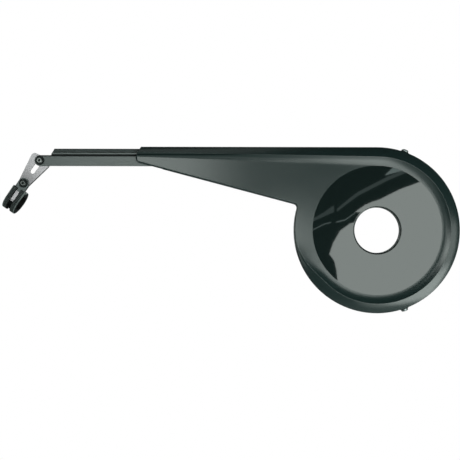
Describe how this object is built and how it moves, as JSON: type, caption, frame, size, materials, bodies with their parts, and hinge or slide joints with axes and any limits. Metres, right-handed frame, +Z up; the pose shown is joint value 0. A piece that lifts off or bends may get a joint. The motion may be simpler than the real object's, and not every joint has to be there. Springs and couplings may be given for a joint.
{
  "type": "bicycle chain guard",
  "caption": "Black moulded chain guard: a dish round the crank, an arm over the upper chain run, and a sliding rail with a slotted link and a rubber-lined frame clamp.",
  "frame": {"origin": "on the crank axis, at the outer face of the disc", "axes": "+X to the front of the bicycle, +Y towards the bicycle's frame, +Z up"},
  "size_m": [0.5577, 0.0363, 0.2012],
  "materials": {
    "guard_plastic": "satin black, fine grained, with a polished disc",
    "rail_paint": "satin black paint",
    "link_steel": "tumbled bare steel",
    "band_steel": "zinc-plated strip",
    "lining_rubber": "ribbed black rubber",
    "black_screw": "blackened steel with bright edges",
    "nut_steel": "zinc-plated"
  },
  "bodies": {
    "guard": {"guard_body": "guard_plastic", "rim_screws": "black_screw", "rim_washers": "black_screw", "rim_nuts": "nut_steel", "rail_lock_screws": "black_screw", "rail_lock_washers": "nut_steel"},
    "rail": {"extension_rail": "rail_paint"},
    "pivot": {"link_screw": "black_screw", "link_front_washer": "black_screw", "link_rear_washer": "nut_steel", "link_nut": "nut_steel"},
    "link": {"slotted_link": "link_steel"},
    "clamp": {"clamp_band": "band_steel", "clamp_rubber": "lining_rubber", "clamp_screw": "black_screw", "clamp_front_washer": "black_screw", "clamp_rear_washer": "nut_steel", "clamp_nut": "nut_steel"}
  },
  "joints": [
    {"name": "rail_slide", "type": "slide", "parent": "guard", "child": "rail", "axis": [1, 0, 0], "range_m": [-0.02, 0.038]},
    {"name": "link_pivot", "type": "hinge", "parent": "rail", "child": "pivot", "pos_m": [-0.4086, 0.0065, 0.0838], "axis": [0, 1, 0], "range_deg": [-30, 30]},
    {"name": "link_slot_slide", "type": "slide", "parent": "pivot", "child": "link", "axis": [0.5864, 0, 0.81], "range_m": [0, 0.0155]},
    {"name": "clamp_pivot", "type": "hinge", "parent": "link", "child": "clamp", "pos_m": [-0.4286, 0.0066, 0.05618], "axis": [0, 1, 0], "range_deg": [-40, 40]}
  ]
}
